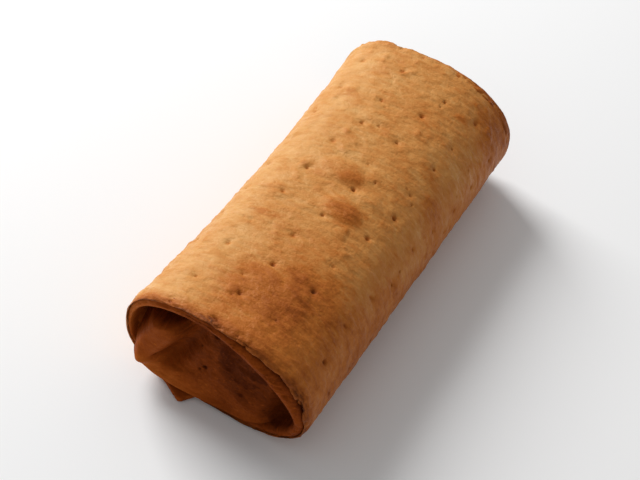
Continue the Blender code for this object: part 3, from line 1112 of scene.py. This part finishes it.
@dataclass(frozen=True)
class Tuck:
    """The folded-in end of the sheet: the rim's inner ply, the hollow's wall and the tuck that fills it."""

    roll: RollShape
    end: End
    cells: int = 112
    ply_rows: int = 22
    wall_rows: int = 14
    hidden_rings: tuple = ((0.0245, 1.34), (0.0106, 0.90), (0.0049, 0.74))
    hidden_share: float = 0.4
    face_share: float = 2.0
    fused_depth: float = 0.0017
    fused_draw: float = 0.085
    seam_from: float = 0.9
    skin_from: float = 0.47
    lip_from: float = 0.86
    lip_skin: float = 0.15
    # Painted shade below the rim on the right side of the hollow.
    shade_under_rim: Swell = Swell(14.0, 54.0, 0.85)
    # Painted bounce light on the left inner wall of the hollow.
    pale: Swell = Swell(165.0, 34.0, 0.32)
    # Dark partly from frying and partly as painted shade, fitted to the near end, which faces away from the
    # key light.
    tone: float = 0.82
    # Strength of the painted shade in the drop behind the folded corner's top edge.
    painted_shading: float = 0.46
    gapes: tuple = (Swell(52.0, 22.0, 0.9), Swell(8.0, 10.0, 0.25), Swell(118.0, 16.0, 0.5))
    ply_path: tuple = (
        # depth behind the rim's plane, share of the ply's reach, share of the way in
        (0.0036, 0.0, 0.445),
        (0.0014, 0.2, 0.455),
        (0.0004, 0.7, 0.510),
        (0.0001, 1.0, 0.650),
        (0.0003, 0.9, 0.820),
        (0.0010, 0.4, 0.950),
        (0.0038, 0.0, 1.000),
    )

    def disc(self) -> tuple:
        """A round patch of square cells.

        Returns:
            The points' x and y in a circle of radius one, their numbers in rows and columns, and the
            numbers of the points on its rim in order.
        """
        side = np.linspace(-1.0, 1.0, self.cells + 1)
        a, b = np.meshgrid(side, side, indexing="ij")
        x, y = a * np.sqrt(1.0 - b * b / 2.0), b * np.sqrt(1.0 - a * a / 2.0)
        index = np.arange((self.cells + 1) ** 2).reshape(self.cells + 1, self.cells + 1)
        rim = np.concatenate([index[:-1, 0], index[-1, :-1], index[:0:-1, -1], index[0, :0:-1]])
        return x.ravel(), y.ravel(), index, rim

    def crack(self, bearing: np.ndarray) -> np.ndarray:
        """How far the crack between the plies gapes in each direction, from 0 to 1."""
        return np.clip(sum(gape.at(bearing) for gape in self.gapes), 0.0, 1.0)

    def ring(self, headings: np.ndarray, share: Numbers, drop: np.ndarray) -> np.ndarray:
        """Points between the skin and the hollow's wall.

        Args:
            headings: Directions in radians.
            share: Share of the way from the skin to the wall.
            drop: How far the points lie behind the rim's plane.

        Returns:
            Rows of x, y, z.
        """
        middle = self.roll.middle(self.end.along)
        outer = self.roll.radii(self.roll.skin_outline(self.end.along), middle, headings)
        inner = self.roll.radii(self.roll.hollow_outline(self.end), middle, headings)
        radius = lerp(outer, inner, share)
        x, z = middle[0] + radius * np.cos(headings), middle[1] + radius * np.sin(headings)
        return self.roll.place(x, self.end.value * (self.roll.length / 2.0 - drop), z)

    def ply_rings(self, headings: np.ndarray, edge_reach: np.ndarray) -> list:
        """Rings over the rim's inner ply, from the crack to the lip of the hollow.

        Args:
            headings: Directions in radians.
            edge_reach: How far the tuck's edge stands out of the rim's plane in each direction.

        Returns:
            Pairs of a ring's points and its share of the way in.
        """
        bearing = self.end.bearing(headings)
        ply = self.roll.inner_ply.at(bearing)
        fused = 1.0 - self.crack(bearing)
        control = [(depth, share * RIM_SPAN, share, lift) for depth, lift, share in self.ply_path]
        rings = []
        for depth, _, share, lift in smooth_path(control, self.ply_rows):
            near_crack = fused * float(ease(np.array((0.54 - share) / 0.09)))
            drop = lerp(depth, np.minimum(depth, self.fused_depth), near_crack) - lift * ply
            if share > self.seam_from:
                drop = np.minimum(drop, self.roll.seam_depth - edge_reach)
            rings.append((self.ring(headings, share - self.fused_draw * near_crack, drop), share))
        return rings

    def build(self, dressing: Dressing) -> bpy.types.Object:
        """Makes the tuck, with its folds and holes, and dresses it.

        Args:
            dressing: The docking tree and the crust.

        Returns:
            The finished object.
        """
        middle = self.roll.middle(self.end.along)
        disc_x, disc_y, index, rim = self.disc()
        headings = np.arctan2(disc_y, disc_x)
        hollow = self.roll.radii(self.roll.hollow_outline(self.end), middle, headings)
        scale = self.roll.tuck_edge * np.hypot(disc_x, disc_y)
        x = middle[0] + scale * hollow * np.cos(headings)
        z = middle[1] + scale * hollow * np.sin(headings)
        reach = self.roll.tuck_reach(x, z, scale, self.end)
        face = self.roll.place(x, self.end.value * (self.roll.length / 2.0 + reach), z)
        round_rim = headings[rim]
        rings = [
            (self.ring(round_rim, share, np.full_like(round_rim, depth)), self.hidden_share)
            for depth, share in self.hidden_rings
        ]
        rings += self.ply_rings(round_rim, reach[rim])
        lip = rings[-1][0]
        rings += [(lerp(lip, face[rim], row / self.wall_rows), 1.0) for row in range(1, self.wall_rows)]
        points = np.concatenate([face] + [ring for ring, _ in rings])
        share = np.repeat([share for _, share in rings], len(rim))
        share = np.concatenate([np.full(len(face), self.face_share), share])
        scale = np.concatenate([scale, np.ones(len(points) - len(face))])
        sheet = np.stack([points[:, 0] * self.end.flip + 0.004, points[:, 2] * 1.1 - 0.060], axis=1)
        faces = self.faces(index, rim, len(rings))
        name = f"{self.end.name.lower()}_tuck"
        return dressing.apply(skin_mesh(name, points, faces, sheet, self.weights(points, share, scale)))

    def faces(self, index: np.ndarray, rim: np.ndarray, rings: int) -> list:
        """Joins the rings to the face's rim, and closes the back.

        Args:
            index: Numbers of the face's points in rows and columns.
            rim: Numbers of the points on the face's rim in order.
            rings: How many rings follow the face's points.

        Returns:
            Lists of point numbers, facing outwards.
        """
        numbers = index.size + np.arange(rings * len(rim)).reshape(rings, len(rim))
        numbers = np.vstack([numbers, rim[None, :]])
        quads = ring_quads(numbers)[:, [0, 3, 2, 1]]
        patch = np.stack([index[:-1, :-1], index[1:, :-1], index[1:, 1:], index[:-1, 1:]], axis=-1)
        faces = quads.tolist() + patch.reshape(-1, 4).tolist() + [numbers[0][::-1].tolist()]
        return [one[::-1] for one in faces] if self.end is End.FAR else faces

    def weights(self, points: np.ndarray, share: np.ndarray, scale: np.ndarray) -> dict:
        """What is stored on each point.

        Args:
            points: Rows of x, y, z.
            share: Share of the way from the skin to the hollow's wall, or face_share on the face.
            scale: Share of the way from the tuck's middle to the wall.

        Returns:
            Attribute name to one number a point.
        """
        on_face = share == self.face_share
        across, up = points[:, 0] * self.end.flip, points[:, 2]
        direction = self.roll.bearing(points[:, 0], up, self.end)
        square = points[:, 1] + self.roll.skew * points[:, 0] - self.roll.shift[1]
        deep = np.clip((self.roll.length / 2.0 - np.abs(square)) / 0.012, -0.3, 1.0)
        ear = self.roll.ear.height(across, up) / self.roll.ear.start_height
        foot = self.roll.foot_fold.height(across, up) / self.roll.foot_fold.end_height
        brow = self.roll.brow.drop(across, up) / self.roll.brow.start_depth
        edge = self.lip_skin + (1.0 - self.lip_skin) * ease((0.97 - scale) / 0.10)
        calm = np.where(on_face, edge, np.where(share > self.lip_from, self.lip_skin, 1.0))
        calm = calm * (1.0 - 0.75 * np.clip(ear, 0.0, 1.0))
        # Painted shade in the drop behind the folded corner's top edge, less a painted highlight on the
        # ear's crest and one along the lit foot fold.
        painted_shading = np.where(on_face, self.painted_shading * brow - 0.04 * ear - 0.26 * foot, 0.0)
        # Painted shade: darker deeper into the hollow and most below the rim on the right; the line below
        # also makes dough past the rim's plane lighter.
        shade = np.maximum(0.0, deep) * (0.16 + self.shade_under_rim.at(direction))
        browning_with_shading = np.minimum(self.tone + painted_shading + shade, 0.96) - 0.30 * np.maximum(0.0, -deep)
        return {
            "skin": np.where(share < self.skin_from, 0.0, calm),
            "crumble": np.where(on_face, 0.0, 0.30),
            "dock": np.where(on_face, ease((0.93 - scale) / 0.15), 0.0),
            "swelling": np.zeros(len(points)),
            # Painted bounce light on the left inner wall.
            "browning_with_shading": browning_with_shading - np.where(on_face, 0.0, self.pale.at(direction)),
        }


@dataclass(frozen=True)
class Tongue:
    """A corner of the sheet that sticks out along the resting surface below a tuck."""

    roll: RollShape
    end: End
    reach: float = 1.0
    thickness: float = 0.0020
    cell: float = 0.00034
    bevel: float = 0.0006
    # Dark partly from frying and partly as painted shade under the overhanging tuck.
    tone: float = 0.78
    outline: tuple = (
        (-0.0218, -0.0088),
        (-0.0200, -0.0012),
        (-0.0150, 0.0008),
        (-0.0096, 0.0034),
        (-0.0087, 0.0038),
        (-0.0078, 0.0034),
        (-0.0044, -0.0012),
        (-0.0036, -0.0088),
    )

    def build(self, dressing: Dressing) -> bpy.types.Object:
        """Makes the tongue and dresses it.

        Args:
            dressing: The docking tree and the crust.

        Returns:
            The finished object.
        """
        corners = []
        for x, out in self.outline:
            y = self.end.value * (self.roll.length / 2.0 + out * self.reach)
            corners.append(self.roll.place(np.array(self.end.flip * x), np.array(y), np.array(0.0)))
        corners = np.array(corners)
        count = len(corners)
        shoulder = self.thickness - self.bevel
        levels = ((0.00002, 0.94), (self.bevel, 1.0), (shoulder, 1.0), (self.thickness, 0.93))
        centre = corners.mean(axis=0)
        points = []
        for z, scale in levels:
            ring = lerp(centre, corners, scale)
            ring[:, 2] = z
            points.append(ring)
        points = np.concatenate(points)
        faces = []
        for level in range(len(levels) - 1):
            for step in range(count):
                a, b = level * count + step, level * count + (step + 1) % count
                faces.append([a, b, b + count, a + count])
        faces.append(list(range(count))[::-1])
        faces.append([(len(levels) - 1) * count + step for step in range(count)])
        mesh = bpy.data.meshes.new("tongue_form")
        mesh.from_pydata(points.tolist(), [], faces)
        form = bpy.data.objects.new("tongue_form", mesh)
        bpy.context.scene.collection.objects.link(form)
        remesh = form.modifiers.new("cells", "REMESH")
        remesh.mode = "VOXEL"
        remesh.voxel_size = self.cell
        graph = bpy.context.evaluated_depsgraph_get()
        dense = bpy.data.meshes.new_from_object(form.evaluated_get(graph))
        bpy.data.objects.remove(form)
        where = np.array([vertex.co[:] for vertex in dense.vertices])
        faces = [list(polygon.vertices) for polygon in dense.polygons]
        out = ease((self.end.value * where[:, 1] - self.roll.length / 2.0 + 0.001) / 0.003)
        weights = {
            "skin": np.full(len(where), 0.35),
            "crumble": 0.25 * out,
            "dock": np.zeros(len(where)),
            "swelling": np.zeros(len(where)),
            "browning_with_shading": np.full(len(where), self.tone),
        }
        name = f"{self.end.name.lower()}_tongue"
        return dressing.apply(skin_mesh(name, where, faces, where[:, :2], weights))


@dataclass(frozen=True)
class FloorFinish:
    """A plain pale matt floor."""

    colour: tuple = (0.90, 0.90, 0.90)
    roughness: float = 0.85

    def build(self) -> bpy.types.Material:
        """Makes the material.

        Returns:
            The material.
        """
        material = bpy.data.materials.new("floor")
        material.use_nodes = True
        shader = material.node_tree.nodes["Principled BSDF"]
        shader.inputs["Base Color"].default_value = (*self.colour, 1.0)
        shader.inputs["Roughness"].default_value = self.roughness
        return material


@dataclass(frozen=True)
class Studio:
    """The floor, the soft lights and the camera."""

    floor_size: float = 4.0
    azimuth: float = 25.3
    elevation: float = 49.3
    roll: float = 6.8
    distance: float = 0.3712
    lens: float = 74.0
    aim: tuple = (-0.0002, 0.0011, 0.0184)
    pan: tuple = (-0.00293, -0.0055)
    key_from: tuple = (-0.80, 0.34, 0.64)
    key_power: float = 12.8
    key_size: float = 0.55
    sky: float = 0.38

    def light(self, name: str, place: tuple, power: float, size: float) -> None:
        """Adds a soft square light that faces the object.

        Args:
            name: The light's name.
            place: Where it stands.
            power: Its power in watts.
            size: Its side.
        """
        data = bpy.data.lights.new(name, "AREA")
        data.energy = power
        data.size = size
        lamp = bpy.data.objects.new(name, data)
        bpy.context.scene.collection.objects.link(lamp)
        lamp.location = place
        lamp.rotation_mode = "QUATERNION"
        lamp.rotation_quaternion = (Vector(place) - Vector((0.0, 0.0, 0.02))).to_track_quat("Z", "Y")

    def camera(self) -> None:
        """Adds the camera: tilted down, turned to one side and rolled a little."""
        a, e, r = (math.radians(angle) for angle in (self.azimuth, self.elevation, self.roll))
        back = Vector((math.sin(a) * math.cos(e), -math.cos(a) * math.cos(e), math.sin(e)))
        level = Vector((math.cos(a), math.sin(a), 0.0))
        raised = back.cross(level)
        right = level * math.cos(r) + raised * math.sin(r)
        up = raised * math.cos(r) - level * math.sin(r)
        place = Vector(self.aim) + right * self.pan[0] + up * self.pan[1] + back * self.distance
        data = bpy.data.cameras.new("camera")
        data.lens = self.lens
        data.sensor_width = 36.0
        data.clip_start = 0.01
        camera = bpy.data.objects.new("camera", data)
        bpy.context.scene.collection.objects.link(camera)
        turned = Matrix((right, up, back)).transposed().to_4x4()
        turned.translation = place
        camera.matrix_world = turned
        bpy.context.scene.camera = camera

    def build(self) -> None:
        """Adds everything round the object."""
        half = self.floor_size / 2.0
        mesh = bpy.data.meshes.new("floor")
        corners = [(-half, -half, 0.0), (half, -half, 0.0), (half, half, 0.0), (-half, half, 0.0)]
        mesh.from_pydata(corners, [], [(0, 1, 2, 3)])
        floor = bpy.data.objects.new("floor", mesh)
        bpy.context.scene.collection.objects.link(floor)
        floor.location.z = -0.0001
        mesh.materials.append(FloorFinish().build())
        world = bpy.data.worlds.new("sky")
        bpy.context.scene.world = world
        world.use_nodes = True
        background = world.node_tree.nodes["Background"]
        background.inputs["Color"].default_value = (1.0, 1.0, 1.0, 1.0)
        background.inputs["Strength"].default_value = self.sky
        self.light("key", self.key_from, self.key_power, self.key_size)
        self.camera()
        bpy.context.scene.view_settings.view_transform = "Standard"


def settle(piece: bpy.types.Object) -> None:
    """Fixes a finished piece to the burrito's body, hides the imported solid that it stands for, and logs
    its face count.

    Args:
        piece: The finished object.
    """
    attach(piece, BODY)
    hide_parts(NODE)
    LOG.info("%s: %d faces", piece.name, len(piece.data.polygons))


def main() -> None:
    """Builds every piece in order, then the studio."""
    logging.basicConfig(level=logging.INFO, format="%(name)s: %(message)s")
    low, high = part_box(NODE)
    centre = (low + high) / 2.0
    roll = RollShape(shift=(centre.x + CENTRE_SHIFT[0], centre.y + CENTRE_SHIFT[1]))
    crust = CrustFinish().build("fried_crust")
    # The folded crust's extra redness is partly painted shade, matched to the shaded near end.
    folded = CrustFinish(
        roughness=0.58,
        specular=0.05,
        bump=0.00024,
        patchy=0.03,
        mottled=0.16,
        streaked=0.08,
        blistered=0.02,
        green=0.84,
    ).build("folded_crust")
    tree = DockedDough(ceiling=high.z - CEILING_CLEARANCE).build()
    settle(Wrap(roll).build(Dressing(tree, crust)))
    for end in End:
        settle(Tuck(roll, end).build(Dressing(tree, folded)))
        settle(Tongue(roll, end, 1.0 if end is End.NEAR else 0.55).build(Dressing(tree, folded)))
    Studio().build()


if __name__ == "__main__":
    main()
